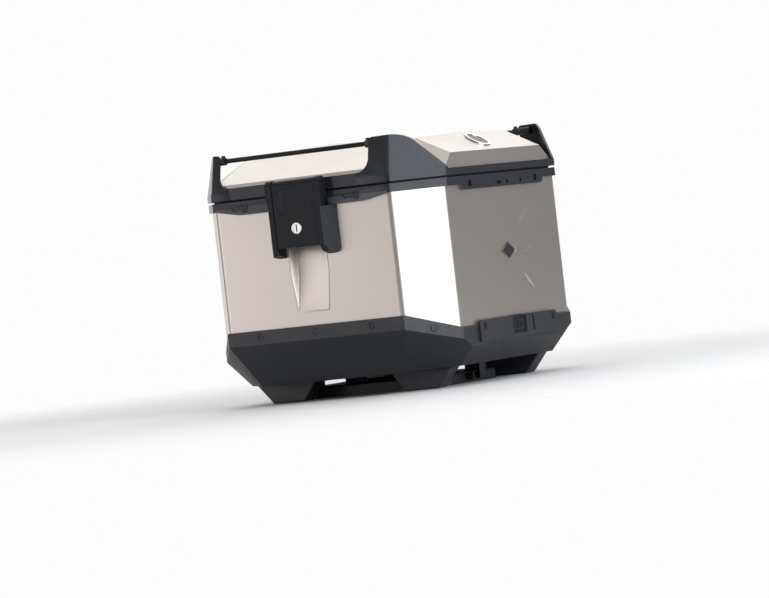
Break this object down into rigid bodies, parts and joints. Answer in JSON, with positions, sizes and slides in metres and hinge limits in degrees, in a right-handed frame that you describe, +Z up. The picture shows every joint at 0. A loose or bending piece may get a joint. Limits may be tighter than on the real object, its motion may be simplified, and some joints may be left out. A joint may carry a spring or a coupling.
{
  "type": "motorcycle top case",
  "caption": "Eight-sided metal motorcycle top case with a hinged lid, side latch and key lock, rack bars, corner guards and a quick-release mounting plate.",
  "frame": {"origin": "on the ground under the middle of the case's bounding box", "axes": "+X towards the back of the motorcycle, -Y the side with the latch, +Z up"},
  "size_m": [0.4121, 0.5335, 0.381],
  "materials": {
    "shell_metal": "satin champagne anodised look",
    "lid_metal": "satin champagne anodised look",
    "black_plastic": "fine grained",
    "rim_plastic": "fine grained",
    "latch_plastic": "fine grained",
    "bar_metal": "black satin",
    "dark_screw": "black oxide",
    "pin_steel": "ground",
    "seal_rubber": "matt",
    "pad_rubber": "matt",
    "mat_rubber": "ribbed",
    "badge_silver": "satin chrome",
    "badge_dark": "gloss",
    "mark_grey": "satin",
    "lock_steel": "satin"
  },
  "bodies": {
    "mounting_plate": {"mounting_plate": "black_plastic", "catch_ears": "pin_steel", "catch_bar": "pin_steel", "dock_pins": "pin_steel", "plate_pads": "pad_rubber"},
    "case": {"base_tub": "black_plastic", "side_shell": "shell_metal", "latch_channel": "shell_metal", "body_rim": "rim_plastic", "base_screws": "dark_screw", "rim_screws": "dark_screw", "floor_mat": "mat_rubber", "foot_front_left": "black_plastic", "foot_front_right": "black_plastic", "foot_rear_left": "black_plastic", "foot_rear_right": "black_plastic", "rear_catch_cover": "black_plastic", "cover_screws": "dark_screw", "release_bezel": "rim_plastic", "catch_box": "black_plastic", "hook_pin": "pin_steel", "dock_sockets": "black_plastic", "hinge_body_leaves": "bar_metal", "hinge_pins": "pin_steel", "latch_housing": "latch_plastic", "latch_pins": "pin_steel", "rear_badge": "mark_grey"},
    "lid": {"lid_rim": "rim_plastic", "lid_shell": "lid_metal", "lid_badge_ring": "badge_silver", "lid_badge_disc": "badge_dark", "lid_seal": "seal_rubber", "corner_guard_front_left": "rim_plastic", "corner_guard_front_right": "rim_plastic", "corner_guard_rear_left": "rim_plastic", "corner_guard_rear_right": "rim_plastic", "rack_bar_left": "bar_metal", "rack_bar_right": "bar_metal", "guard_caps": "dark_screw", "hinge_lid_leaves": "bar_metal", "lid_striker": "pin_steel"},
    "latch_lever": {"latch_lever": "latch_plastic"},
    "lock": {"lock_barrel": "lock_steel", "lock_cam": "pin_steel"},
    "latch_claw": {"latch_claw": "pin_steel"},
    "release_button": {"release_button": "black_plastic"},
    "release_hook": {"release_hook": "pin_steel"}
  },
  "joints": [
    {"name": "dock_tilt", "type": "hinge", "parent": "mounting_plate", "child": "case", "pos_m": [-0.118, 0, 0.024], "axis": [0, -1, 0], "range_deg": [0, 15]},
    {"name": "lid_hinge", "type": "hinge", "parent": "case", "child": "lid", "pos_m": [0, 0.2575, 0.3075], "axis": [-1, 0, 0], "range_deg": [0, 90]},
    {"name": "latch_lever", "type": "hinge", "parent": "case", "child": "latch_lever", "pos_m": [0, -0.2593, 0.3205], "axis": [-1, 0, 0], "range_deg": [0, 75]},
    {"name": "lock_turn", "type": "hinge", "parent": "latch_lever", "child": "lock", "pos_m": [0, -0.2625, 0.257], "axis": [0, 1, 0], "range_deg": [0, 90]},
    {"name": "claw_swing", "type": "hinge", "parent": "case", "child": "latch_claw", "pos_m": [0, -0.2555, 0.2745], "axis": [1, 0, 0], "range_deg": [0, 6]},
    {"name": "button_push", "type": "slide", "parent": "case", "child": "release_button", "axis": [-1, 0, 0], "range_m": [0, 0.005], "stiffness_N_per_m": 400},
    {"name": "hook_swing", "type": "hinge", "parent": "case", "child": "release_hook", "pos_m": [0.131, 0, 0.0505], "axis": [0, -1, 0], "range_deg": [0, 24.5]}
  ],
  "couplings": [
    {"joint": "claw_swing", "follows": "latch_lever", "ratio": 0.08},
    {"joint": "hook_swing", "follows": "button_push", "rad_per_m": 83.3}
  ]
}
